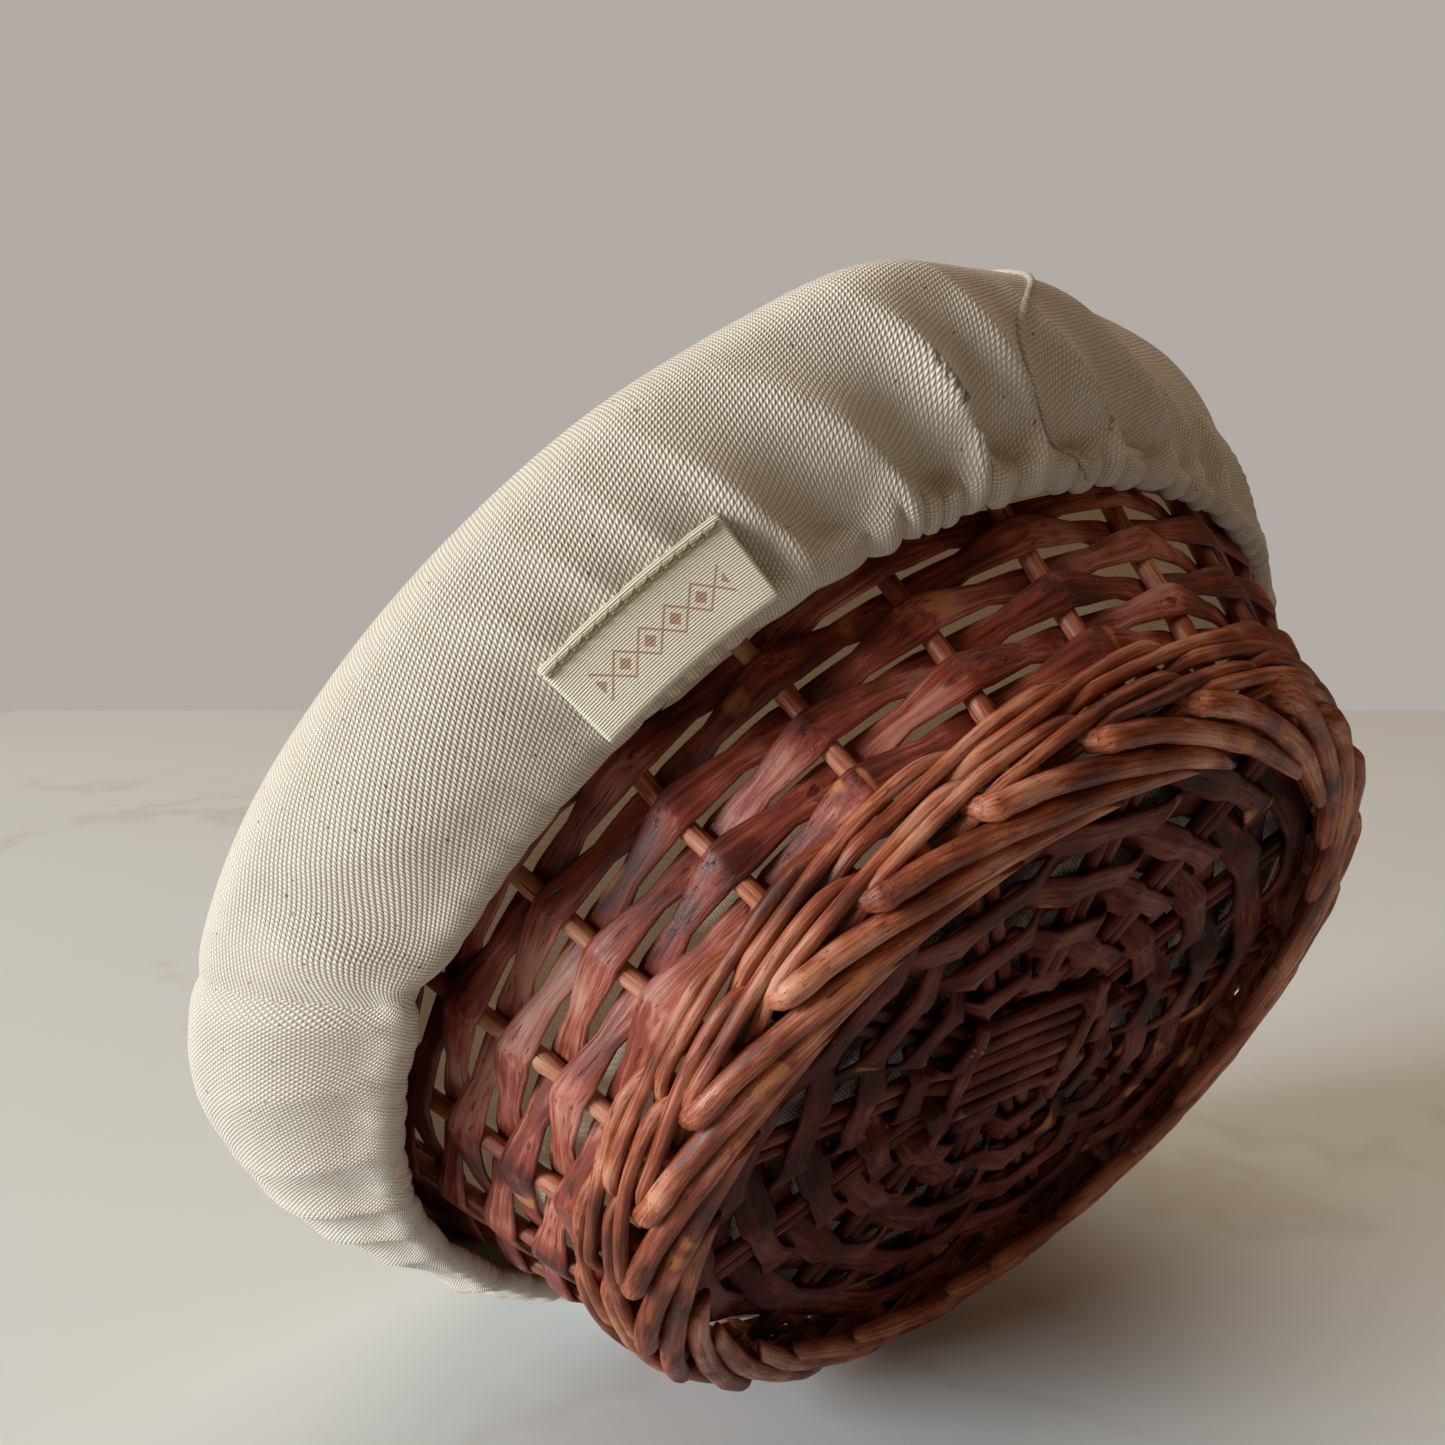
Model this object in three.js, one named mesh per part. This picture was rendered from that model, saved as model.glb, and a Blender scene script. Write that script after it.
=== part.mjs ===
import * as THREE from 'three';

// A round willow proofing basket with a fabric liner, built from its base up.
// Lengths are millimetres and angles are degrees. +Z runs from the foot to the opening,
// and the origin is the centre of the foot's underside.

// ---- Driving dimensions: the basket ----
const STAKE_COUNT = 24;
const STAKE_RADIUS = 1.9;
const STAKE_LOW_Z = 7.6;
const STAKE_HIGH_Z = 68.8;
const FIRST_STAKE_ANGLE = 7.5;
const STAKE_STEP = 360 / STAKE_COUNT;

const SIDE_RADIUS_AT_FOOT = 85.18;
const SIDE_SLOPE = 0.4017;

const SPLIT_THICKNESS = 2;
const SPLIT_HEIGHT = 5;
const ROW_PITCH = 5.66;
const FIRST_ROW_Z = 19.9;
const SINGLE_ROWS = 7;
const HIDDEN_ROWS = 2;

const WALE_RODS = 3;
const WALE_RADIUS = 1.45;
const FIRST_WALE_Z = 8.6;
const WALE_PITCH = 3.3;

const FOOT = { inner: 79, outer: 91.5, height: 6.5, lean: 2.4, stepsPerRod: 3 };
const RIM = { low: 70, high: 86, outer: 126, inset: 4 };

const BASE_Z = 10;
const BASE_LAYER_RISE = 1.8;
const BASE_STICK_RADIUS = 1.5;
const BASE_STICK_END = 82;
const CROSS_ANGLE = 45;
const CROSS_PITCH = 5;
const CROSS_HALF_WIDTH = 15;
const FAN_START = 24;
const PAIR_STEP = 30;
const PAIR_HALF_SPACING = 1.9;
const BASE_WEAVERS = 7;
const BASE_WEAVER_GAP = 0.74;
const BASE_WEAVER_THICKNESS = 1.6;
const BASE_WEAVE = { inner: 24.5, outer: 78 };

// ---- Driving dimensions: the liner ----
const CLOTH = 1.4;
const LINER_INSET = 6.7;
const LINER_FLOOR_Z = 15;
const LINER_TOP_Z = 87.2;
const SKIRT_PROFILE = [
  [129.2, 84.4], [136, 80.2], [141.4, 74.6], [143.8, 68.6], [142.4, 62],
  [137, 54], [128.5, 47], [119, 42.6], [116.2, 44.6], [117.6, 47.2], [124.4, 50.4],
];
const ELASTIC = { radius: 120.6, z: 46.2, width: 5, thickness: 1 };
const LABEL = { length: 36, width: 17, thickness: 1.6, angle: -87.2, edge: [133.3, 50.95], lift: 1.95 };

// ---- Fits and facets ----
const CLEARANCE = 0.35;
const RING_STEPS = 48;
const ROD_SIDES = 8;
const THIN_ROD_SIDES = 6;

const materials = {
  willow: new THREE.MeshStandardMaterial({ color: 0x6b3328, roughness: 0.55, metalness: 0 }),
  willowRod: new THREE.MeshStandardMaterial({ color: 0x5a2a22, roughness: 0.5, metalness: 0 }),
  canvas: new THREE.MeshStandardMaterial({ color: 0xd8cfbd, roughness: 0.95, metalness: 0 }),
  elastic: new THREE.MeshStandardMaterial({ color: 0xe9e4d8, roughness: 0.9, metalness: 0 }),
  ribbon: new THREE.MeshStandardMaterial({ color: 0xe2dccb, roughness: 0.85, metalness: 0 }),
};

const basket = new THREE.Group();

const radians = THREE.MathUtils.degToRad;
const sideRadius = (z) => SIDE_RADIUS_AT_FOOT + SIDE_SLOPE * z;
const onCircle = (radius, angle, z) =>
  new THREE.Vector3(radius * Math.cos(radians(angle)), radius * Math.sin(radians(angle)), z);

function addPiece(name, geometry, material) {
  const mesh = new THREE.Mesh(geometry, material);
  mesh.name = name;
  basket.add(mesh);
  return mesh;
}

// A ring turned about +Z from a closed outline of [radius, z] points. The outline runs
// anticlockwise. shift can move each point: it takes and returns { angle, radius, z }.
function turnedRing(outline, steps, shift) {
  const points = [...outline, outline[0]].map(([radius, z]) => new THREE.Vector2(radius, z));
  const geometry = new THREE.LatheGeometry(points, steps).rotateX(Math.PI / 2);
  const position = geometry.attributes.position;
  for (let i = 0; shift && i < position.count; i += 1) {
    const x = position.getX(i);
    const y = position.getY(i);
    const moved = shift({
      angle: THREE.MathUtils.radToDeg(Math.atan2(y, x)),
      radius: Math.hypot(x, y),
      z: position.getZ(i),
    });
    const to = onCircle(moved.radius, moved.angle, moved.z);
    position.setXYZ(i, to.x, to.y, to.z);
  }
  return geometry;
}

// The outline of a sheet: a line of [radius, z] points given half a thickness on each side.
function sheetOutline(line, thickness) {
  const points = line.map(([radius, z]) => new THREE.Vector2(radius, z));
  const normals = points.map((point, i) => {
    const before = point.clone().sub(points[Math.max(i - 1, 0)]).normalize();
    const after = points[Math.min(i + 1, points.length - 1)].clone().sub(point).normalize();
    const along = before.add(after).normalize();
    return new THREE.Vector2(-along.y, along.x);
  });
  const side = (sign) => points.map((point, i) =>
    point.clone().addScaledVector(normals[i], (sign * thickness) / 2).toArray());
  return [...side(-1), ...side(1).reverse()];
}

// Which stake stands at this angle: a whole number at a stake, and a half between two.
function stakeAt(angle) {
  return (angle - FIRST_STAKE_ANGLE) / STAKE_STEP;
}

// A strip outline that leans outwards with the side of the basket.
function leaningStrip(z, height, thickness) {
  const low = z - height / 2;
  const high = z + height / 2;
  const half = thickness / 2;
  return [
    [sideRadius(low) - half, low], [sideRadius(low) + half, low],
    [sideRadius(high) + half, high], [sideRadius(high) - half, high],
  ];
}

// ---- Base: two crossed layers of sticks that open into pairs ----
function baseStickPath(pair, side, layerZ) {
  const across = CROSS_PITCH * (2 * pair + side / 2);
  const spoke = (radius) => {
    const axis = onCircle(radius, PAIR_STEP * pair, BASE_Z);
    const apart = onCircle(side * PAIR_HALF_SPACING, PAIR_STEP * pair + 90, 0);
    return axis.add(apart);
  };
  const half = [
    new THREE.Vector3(CROSS_HALF_WIDTH / 3, across, layerZ),
    new THREE.Vector3(CROSS_HALF_WIDTH, across, layerZ),
    spoke(FAN_START),
    spoke((FAN_START + BASE_STICK_END) / 2),
    spoke(BASE_STICK_END),
  ];
  const mirrored = half.map((point) => new THREE.Vector3(-point.x, point.y, point.z)).reverse();
  return new THREE.CatmullRomCurve3([...mirrored, ...half], false, 'centripetal');
}

function polygonSection(radius, sides) {
  const corners = Array.from({ length: sides }, (_, i) => {
    const turn = (2 * Math.PI * (i + 0.5)) / sides;
    return new THREE.Vector2(radius * Math.cos(turn), radius * Math.sin(turn));
  });
  return new THREE.Shape(corners);
}

function addBaseSticks(layer, turn, layerZ) {
  let number = 1;
  for (const pair of [-1, 0, 1]) {
    for (const side of [-1, 1]) {
      const geometry = new THREE.ExtrudeGeometry(polygonSection(BASE_STICK_RADIUS, THIN_ROD_SIDES), {
        steps: 14,
        bevelEnabled: false,
        extrudePath: baseStickPath(pair, side, layerZ),
      });
      const stick = addPiece(`base_stick_${layer}${number}`, geometry, materials.willowRod);
      stick.rotation.z = radians(turn);
      number += 1;
    }
  }
}

// A flat ring that lies over one pair of spokes and under the next.
function addBaseWeavers() {
  const pitch = (BASE_WEAVE.outer - BASE_WEAVE.inner) / BASE_WEAVERS;
  const swing = BASE_STICK_RADIUS + CLEARANCE + BASE_WEAVER_THICKNESS / 2;
  const halfPair = PAIR_HALF_SPACING + BASE_STICK_RADIUS + CLEARANCE;
  const low = BASE_Z - BASE_WEAVER_THICKNESS / 2;
  const high = BASE_Z + BASE_WEAVER_THICKNESS / 2;
  for (let row = 0; row < BASE_WEAVERS; row += 1) {
    const inner = BASE_WEAVE.inner + row * pitch;
    const outer = inner + pitch - BASE_WEAVER_GAP;
    const outline = [[inner, low], [outer, low], [outer, high], [inner, high]];
    const geometry = turnedRing(outline, 24, ({ angle, radius, z }) => {
      const station = Math.round((angle - CROSS_ANGLE) / (PAIR_STEP / 2));
      const pair = Math.floor((station + 1) / 2);
      const sideOfPair = station % 2 === 0 ? 1 : -1;
      const edge = THREE.MathUtils.radToDeg(Math.asin(halfPair / radius));
      const over = (pair + row) % 2 === 0 ? 1 : -1;
      const turned = CROSS_ANGLE + PAIR_STEP * pair + sideOfPair * edge;
      return { angle: turned, radius, z: z + over * swing };
    });
    addPiece(`base_weave_${row + 1}`, geometry, materials.willow);
  }
}

// ---- Foot: rod ends turned over into a ring with a flat underside ----
function addFootBorder() {
  const middle = (FOOT.inner + FOOT.outer) / 2;
  const outline = [
    [FOOT.inner + 1, 0], [FOOT.outer - 3, 0], [FOOT.outer, 3],
    [FOOT.outer - 1.5, FOOT.height], [FOOT.inner + 1.5, FOOT.height], [FOOT.inner, 3],
  ];
  const steps = STAKE_COUNT * FOOT.stepsPerRod;
  const geometry = turnedRing(outline, steps, ({ angle, radius, z }) => {
    const station = Math.round(angle / (360 / steps)) + steps;
    const alongRod = (station % FOOT.stepsPerRod) / FOOT.stepsPerRod;
    return { angle, radius: radius > middle ? radius - FOOT.lean * alongRod : radius, z };
  });
  addPiece('foot_border', geometry, materials.willowRod);
}

// ---- Side: stakes, wale rods and woven rows ----
function addStakes() {
  for (let i = 0; i < STAKE_COUNT; i += 1) {
    const angle = FIRST_STAKE_ANGLE + STAKE_STEP * i;
    const foot = onCircle(sideRadius(STAKE_LOW_Z), angle, STAKE_LOW_Z);
    const top = onCircle(sideRadius(STAKE_HIGH_Z), angle, STAKE_HIGH_Z);
    const along = top.clone().sub(foot);
    const geometry = new THREE.CylinderGeometry(STAKE_RADIUS, STAKE_RADIUS, along.length(), ROD_SIDES);
    const stake = addPiece(`side_stake_${String(i + 1).padStart(2, '0')}`, geometry, materials.willowRod);
    stake.position.copy(foot.add(top).multiplyScalar(0.5));
    stake.quaternion.setFromUnitVectors(new THREE.Vector3(0, 1, 0), along.normalize());
  }
}

// Each wale rod passes outside two stakes and inside the third, one stake on from its neighbour.
function addWaleRods() {
  const swing = STAKE_RADIUS + WALE_RADIUS + 1.5 * CLEARANCE;
  const outside = (stake, rod) => ((Math.round(stake) + rod + STAKE_COUNT) % 3 === 0 ? -1 : 1);
  for (let rod = 0; rod < WALE_RODS; rod += 1) {
    const z = FIRST_WALE_Z + WALE_PITCH * rod;
    const outline = polygonSection(WALE_RADIUS, THIN_ROD_SIDES).getPoints()
      .map((corner) => [sideRadius(z) + corner.x, z + corner.y]);
    const geometry = turnedRing(outline, RING_STEPS, (point) => {
      const stake = stakeAt(point.angle);
      const side = (outside(Math.floor(stake + 0.25), rod) + outside(Math.ceil(stake - 0.25), rod)) / 2;
      return { ...point, radius: point.radius + swing * side };
    });
    addPiece(`wale_rod_${rod + 1}`, geometry, materials.willowRod);
  }
}

function wovenRow(row, height, z) {
  const swing = STAKE_RADIUS + SPLIT_THICKNESS / 2 + 1.4 * CLEARANCE;
  return turnedRing(leaningStrip(z, height, SPLIT_THICKNESS), RING_STEPS, (point) => {
    const stake = stakeAt(point.angle);
    const atStake = Math.abs(stake - Math.round(stake)) < 0.25;
    const side = (Math.round(stake) + row + STAKE_COUNT) % 2 === 0 ? -1 : 1;
    return { ...point, radius: point.radius + (atStake ? swing * side : 0) };
  });
}

function addSideWeave() {
  for (let row = 0; row < SINGLE_ROWS; row += 1) {
    const geometry = wovenRow(row, SPLIT_HEIGHT, FIRST_ROW_Z + ROW_PITCH * row);
    addPiece(`side_weave_0${row + 1}`, geometry, materials.willow);
  }
  const hiddenZ = FIRST_ROW_Z + ROW_PITCH * (SINGLE_ROWS + (HIDDEN_ROWS - 1) / 2);
  const hiddenHeight = SPLIT_HEIGHT + ROW_PITCH * (HIDDEN_ROWS - 1);
  addPiece(`side_weave_0${SINGLE_ROWS + 1}`, wovenRow(SINGLE_ROWS, hiddenHeight, hiddenZ), materials.willow);
}

// ---- Rim: the plaited top border, under the cloth ----
function addTopBorder() {
  const { low, high, outer, inset } = RIM;
  const outline = [
    [sideRadius(low) - inset, low], [sideRadius(low) + 2 * inset, low],
    [outer, low + 7], [outer, high - 3], [outer - 3.5, high],
    [sideRadius(high) - inset + 2, high], [sideRadius(high - 3) - inset, high - 3],
  ];
  addPiece('top_border', turnedRing(outline, RING_STEPS), materials.willowRod);
}

// ---- Liner: bowl, skirt, elastic and label ----
function addLinerBowl() {
  const floor = LINER_FLOOR_Z;
  const wall = (z) => sideRadius(z) - LINER_INSET;
  const line = [
    [0, floor], [78.5, floor], [wall(17) - 1.6, 16.8], [wall(22), 22], [wall(54), 54],
    [wall(LINER_TOP_Z - 2), LINER_TOP_Z - 2], [wall(LINER_TOP_Z) + 2, LINER_TOP_Z],
    [126, LINER_TOP_Z], [128.2, LINER_TOP_Z - 1.6],
  ];
  const outline = sheetOutline(line, CLOTH);
  outline[0][0] = 0;
  outline[outline.length - 1][0] = 0;
  addPiece('liner_bowl', turnedRing(outline, RING_STEPS), materials.canvas);
}

function addSkirt() {
  addPiece('liner_skirt', turnedRing(sheetOutline(SKIRT_PROFILE, CLOTH), RING_STEPS), materials.canvas);
}

// The band lies in the pocket that the turned-up hem makes, and leans with it.
function addElastic() {
  const [inner, outer] = SKIRT_PROFILE.slice(-2);
  const lean = new THREE.Vector2(outer[0] - inner[0], outer[1] - inner[1]).normalize();
  const middle = new THREE.Vector2(ELASTIC.radius, ELASTIC.z);
  const end = (sign) => middle.clone().addScaledVector(lean, (sign * ELASTIC.width) / 2).toArray();
  const outline = sheetOutline([end(-1), end(1)], ELASTIC.thickness);
  addPiece('hem_elastic', turnedRing(outline, RING_STEPS), materials.elastic);
}

// A folded ribbon that lies on the skirt and hinges on its stitched upper edge.
function addLabel() {
  const [outerKnee, hemKnee] = [SKIRT_PROFILE[5], SKIRT_PROFILE[6]];
  const up = new THREE.Vector2(outerKnee[0] - hemKnee[0], outerKnee[1] - hemKnee[1]).normalize();
  const out = new THREE.Vector2(up.y, -up.x);
  const middle = new THREE.Vector2(...LABEL.edge)
    .addScaledVector(up, -LABEL.width / 2)
    .addScaledVector(out, LABEL.lift);
  const geometry = new THREE.BoxGeometry(LABEL.length, LABEL.width, LABEL.thickness);
  const label = addPiece('ribbon_label', geometry, materials.ribbon);
  const inRow = (v) => onCircle(v.x, LABEL.angle, v.y);
  label.quaternion.setFromRotationMatrix(
    new THREE.Matrix4().makeBasis(onCircle(1, LABEL.angle + 90, 0), inRow(up), inRow(out)));
  label.position.copy(inRow(middle));
}

addBaseSticks('a', CROSS_ANGLE, BASE_Z - BASE_LAYER_RISE);
addBaseSticks('b', CROSS_ANGLE + 90, BASE_Z + BASE_LAYER_RISE);
addBaseWeavers();
addFootBorder();
addStakes();
addWaleRods();
addSideWeave();
addTopBorder();
addLinerBowl();
addSkirt();
addElastic();
addLabel();

export default basket;
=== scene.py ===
"""A woven willow proofing basket and its gathered canvas liner, built around the frame."""

import math

import bmesh
import bpy
import numpy as np
from mathutils import Matrix, Vector


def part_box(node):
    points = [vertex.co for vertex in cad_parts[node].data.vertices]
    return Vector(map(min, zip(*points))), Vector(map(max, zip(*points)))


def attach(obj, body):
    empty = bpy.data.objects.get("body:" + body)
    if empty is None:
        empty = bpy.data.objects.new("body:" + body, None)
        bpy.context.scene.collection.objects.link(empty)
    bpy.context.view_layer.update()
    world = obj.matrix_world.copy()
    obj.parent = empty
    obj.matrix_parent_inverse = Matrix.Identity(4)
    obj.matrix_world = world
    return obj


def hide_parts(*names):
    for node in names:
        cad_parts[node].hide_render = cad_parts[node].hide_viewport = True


bl_info = {
    "name": "Proofing Basket",
    "version": (1, 0, 0),
    "blender": (4, 5, 0),
    "location": "View3D > Sidebar > Basket",
    "description": "Weaves a round proofing basket and sews its canvas liner",
    "category": "Add Mesh",
}

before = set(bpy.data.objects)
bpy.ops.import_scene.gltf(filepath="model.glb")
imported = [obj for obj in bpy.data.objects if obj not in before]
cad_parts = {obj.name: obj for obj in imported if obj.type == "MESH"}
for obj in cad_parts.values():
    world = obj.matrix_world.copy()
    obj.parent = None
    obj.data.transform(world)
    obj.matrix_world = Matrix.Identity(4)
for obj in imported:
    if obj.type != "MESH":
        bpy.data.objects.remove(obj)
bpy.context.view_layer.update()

MM = 0.001
STAKE_STEP = 15.0
FIRST_STAKE = 7.5
PAIR_STEP = 30.0
CROSS_ANGLE = 45.0
STICK_END = 82 * MM
ROW_REACH = 4.39 * MM


# ---- Measures taken from the frame ----
def half_width(node):
    """Half a round node's width, which is its outer radius, in metres."""
    low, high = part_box(node)
    return (high[0] - low[0]) / 2


def top_of(node):
    """A node's highest point, in metres."""
    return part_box(node)[1][2]


def middle_of(node):
    """A node's mean height, in metres."""
    low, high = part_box(node)
    return (low[2] + high[2]) / 2


ROW_PITCH = middle_of("side_weave_02") - middle_of("side_weave_01")
FIRST_ROW = middle_of("side_weave_01")
SIDE_SLOPE = (half_width("side_weave_07") - half_width("side_weave_01")) / (
    top_of("side_weave_07") - top_of("side_weave_01")
)
SIDE_FOOT = half_width("side_weave_01") - ROW_REACH - SIDE_SLOPE * top_of("side_weave_01")
SIDE_LEAN = math.atan(SIDE_SLOPE)
RIM_TOP = top_of("top_border")
RIM_OUTER = half_width("top_border")
BASE_HEIGHT = middle_of("base_weave_1")


def side_radius(z):
    """The radius of the stakes' middles at this height."""
    return SIDE_FOOT + SIDE_SLOPE * z


# ---- Settings a user would change ----
def length(name, text, default):
    """A length property in metres."""
    return bpy.props.FloatProperty(
        name=name, description=text, default=default, min=0, unit="LENGTH", precision=5
    )


def colour(name, text, default):
    """A linear colour property."""
    return bpy.props.FloatVectorProperty(
        name=name, description=text, default=default, size=3, min=0, max=1, subtype="COLOR"
    )


def power(name, text, default):
    """A light's power property in watts."""
    return bpy.props.FloatProperty(name=name, description=text, default=default, min=0, unit="POWER")


class WillowSizes(bpy.types.PropertyGroup):
    """The sizes of the woven willow."""

    stakes: bpy.props.IntProperty(name="Stakes", description="Upright rods round the side", default=24)
    side_rows: bpy.props.IntProperty(name="Side rows", description="Woven rows up the side", default=9)
    base_rows: bpy.props.IntProperty(name="Base rows", description="Woven rings in the base", default=9)
    stake_radius: length("Stake radius", "Half a stake's thickness", 1.95 * MM)
    split_width: length("Split width", "A side split's width beside a stake", 7.4 * MM)
    split_waist: length("Split waist", "A side split's width between stakes", 4.7 * MM)
    split_thickness: length("Split thickness", "A side split's thickness", 1.3 * MM)
    wale_radius: length("Wale rod radius", "Half a wale rod's thickness", 1.5 * MM)
    foot_radius: length("Foot rod radius", "Half a foot rod's thickness", 2.35 * MM)
    base_width: length("Base split width", "The width of the base's flat splits", 6.2 * MM)
    base_thickness: length("Base split thickness", "Their thickness", 1.5 * MM)


class ClothSizes(bpy.types.PropertyGroup):
    """The sizes of the liner and its label."""

    canvas: length("Canvas thickness", "The liner's cloth", 0.9 * MM)
    ribbon: length("Ribbon thickness", "The label's ribbon", 0.4 * MM)
    label_length: length("Label length", "Along its stitched edge", 36 * MM)
    label_width: length("Label width", "From its stitched edge to its fold", 15.4 * MM)
    gather: length("Gather depth", "How deep the hem's folds are", 3.8 * MM)


class Finishes(bpy.types.PropertyGroup):
    """The colours of the willow and the cloth."""

    willow_dark: colour("Willow, dark", "Shaded grain of the splits", (0.05, 0.005, 0.002))
    willow_red: colour("Willow, red", "The splits' stain", (0.27, 0.048, 0.026))
    willow_worn: colour("Willow, worn", "Where the stain is thin", (0.56, 0.3, 0.23))
    rod_dark: colour("Rod, dark", "Grooves in the round rods", (0.06, 0.01, 0.004))
    rod_red: colour("Rod, red", "The round rods' stain", (0.31, 0.072, 0.028))
    rod_worn: colour("Rod, worn", "The rods' rubbed backs", (0.62, 0.33, 0.2))
    canvas: colour("Canvas", "Unbleached cotton", (0.82, 0.8, 0.755))
    # Painted shade: this darker, warmer colour is put between the twill's threads and on its thin, low
    # yarn, where shade falls.
    canvas_painted_shade: colour("Canvas, between threads", "The gaps in the weave", (0.5, 0.42, 0.31))
    ribbon: colour("Ribbon", "The label's ground", (0.87, 0.81, 0.66))
    motif: colour("Motif", "The label's woven pattern", (0.45, 0.24, 0.15))
    thread: colour("Thread", "The label's stitching", (0.36, 0.3, 0.17))


class StageLights(bpy.types.PropertyGroup):
    """The light and the ground."""

    key: power("Key light", "The large soft light at the left", 129.0)
    overhead: power("Overhead", "The soft light above the table", 22.0)
    fill: bpy.props.FloatProperty(
        name="Surround", description="Strength of the surround's light", default=0.2, min=0
    )
    ground: colour("Ground", "The pale table", (0.785, 0.85, 0.87))
    wall: colour("Wall", "The surround's colour", (0.45, 0.41, 0.38))
    bounce: colour("Bounce", "The colour of the surround's light", (0.68, 0.37, 0.17))


def willow():
    """The willow's sizes."""
    return bpy.context.scene.basket_willow


def cloth():
    """The cloth's sizes."""
    return bpy.context.scene.basket_cloth


# ---- Curves, wavers and sweeps ----
def waver(turn, seed, cycles=(2, 3, 5)):
    """A smooth random wave over turn, mostly within -1 to 1, that closes after one turn."""
    phases = np.random.default_rng(seed).uniform(0, math.tau, len(cycles))
    waves = [np.sin(math.tau * c * turn + p) for c, p in zip(cycles, phases)]
    return sum(waves) / len(cycles)


def smooth(x):
    """0 below 0, 1 above 1 and a smooth step between."""
    x = np.clip(x, 0, 1)
    return x * x * (3 - 2 * x)


def drifting(middle, reach, seed, cycles):
    """A tone that drifts along a piece."""
    return lambda s: middle + reach * waver(s, seed, cycles)


def bump_at(x, middle, reach):
    """A soft hump of height 1 at middle that has faded at reach on each side."""
    return np.exp(-2.5 * ((x - middle) / reach) ** 2)


def between_points(a, b, c, d, f):
    """The point a fraction f of the way from b to c, on a smooth curve that also passes a and d."""
    straight = 2 * b + (c - a) * f
    return 0.5 * (straight + (2 * a - 5 * b + 4 * c - d) * f**2 + (3 * b - a - 3 * c + d) * f**3)


def curve_at(points, s):
    """The point at s, from 0 to 1, of a smooth curve through the points."""
    points = np.asarray(points, float)
    spans = len(points) - 1
    ends = 2 * points[0] - points[1], 2 * points[-1] - points[-2]
    padded = np.vstack([ends[0], points, ends[1]])
    x = np.clip(s, 0, 1) * spans
    i = np.minimum(x.astype(int), spans - 1)
    f = (x - i)[:, None]
    return between_points(padded[i], padded[i + 1], padded[i + 2], padded[i + 3], f)


def on_circle(radius, degrees, z):
    """Points at a radius, an angle and a height."""
    turn = np.radians(degrees)
    return np.stack(np.broadcast_arrays(radius * np.cos(turn), radius * np.sin(turn), z), axis=-1)


def unit(v):
    """Vectors made one long."""
    return v / np.maximum(np.linalg.norm(v, axis=-1, keepdims=True), 1e-12)


def rod_section(path, s, t, radius, facing=(0, 0, 1), flatness=1.0):
    """Points round a rod: t goes round it, and flatness is its height over its width."""
    middle = curve_at(path, s)
    along = unit(curve_at(path, s + 0.002) - curve_at(path, s - 0.002))
    side = unit(np.cross(along, np.broadcast_to(facing, along.shape)))
    up = np.cross(side, along)
    turn = math.tau * t
    radius = np.broadcast_to(radius, s.shape)[:, None]
    return middle + radius * (np.cos(turn)[:, None] * side + flatness * np.sin(turn)[:, None] * up)


def band_section(degrees, radius, z, width, thickness, lean, t, crown=0.0):
    """Points round a flat ring's section, which leans from upright by lean radians."""
    turn = math.tau * t
    across = np.sign(np.cos(turn)) * np.abs(np.cos(turn)) ** 0.5
    out = np.sign(np.sin(turn)) * np.abs(np.sin(turn)) ** 0.8
    a = across * width / 2
    b = out * thickness / 2 + crown * (1 - across**2)
    r = radius + a * np.sin(lean) + b * np.cos(lean)
    return on_circle(r, degrees, z + a * np.cos(lean) - b * np.sin(lean))


def round_section(degrees, radius, z, reach, t):
    """Points round a ring's round section."""
    turn = math.tau * t
    return on_circle(radius + reach * np.cos(turn), degrees, z + reach * np.sin(turn))


def turned(path, degrees):
    """A path turned about the basket's axis."""
    c, s = math.cos(math.radians(degrees)), math.sin(math.radians(degrees))
    return np.asarray(path) @ np.array([[c, s, 0], [-s, c, 0], [0, 0, 1]])


def sweep(along, around, place, size, tone=0.5):
    """A bmesh grid rolled up by place(s, t), with grain in metres on the UV map and a tone along it."""
    bm = bmesh.new()
    bmesh.ops.create_grid(bm, x_segments=along, y_segments=around, size=0.5)
    flat = np.array([v.co[:2] for v in bm.verts]) + 0.5
    grain = bm.loops.layers.uv.new("grain")
    for face in bm.faces:
        for loop in face.loops:
            loop[grain].uv = (loop.vert.co.x + 0.5) * size[0], (loop.vert.co.y + 0.5) * size[1]
    shade = bm.verts.layers.float.new("tone")
    tones = np.broadcast_to(tone(flat[:, 0]) if callable(tone) else tone, len(flat))
    for vert, point, value in zip(bm.verts, place(*flat.T), tones):
        vert.co = point
        vert[shade] = value
    return bm


def close_up(bm):
    """Joins a rolled grid's seams, fills its ends and turns its faces out."""
    bmesh.ops.remove_doubles(bm, verts=bm.verts, dist=1e-6)
    bmesh.ops.holes_fill(bm, edges=[e for e in bm.edges if e.is_boundary], sides=0)
    bmesh.ops.recalc_face_normals(bm, faces=bm.faces)
    return bm


def add_object(name, bm, material):
    """Makes an object of a bmesh and puts it in the scene."""
    mesh = bpy.data.meshes.new(name)
    bm.to_mesh(mesh)
    bm.free()
    mesh.materials.append(material)
    made = bpy.data.objects.new(name, mesh)
    bpy.context.scene.collection.objects.link(made)
    return made


def piece(name, bm, look, body, replaced=()):
    """Makes a smooth object in a named finish, and says what it rides on and stands for."""
    made = add_object(name, bm, material_named(look))
    faces = made.data.polygons
    faces.foreach_set("use_smooth", [True] * len(faces))
    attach(made, body)
    if replaced:
        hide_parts(*replaced)
    return made


def thicken(sheet, thickness):
    """Gives a sheet its thickness, half on each side."""
    solid = sheet.modifiers.new("thickness", "SOLIDIFY")
    solid.thickness = thickness
    solid.offset = 0
    return sheet


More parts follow.
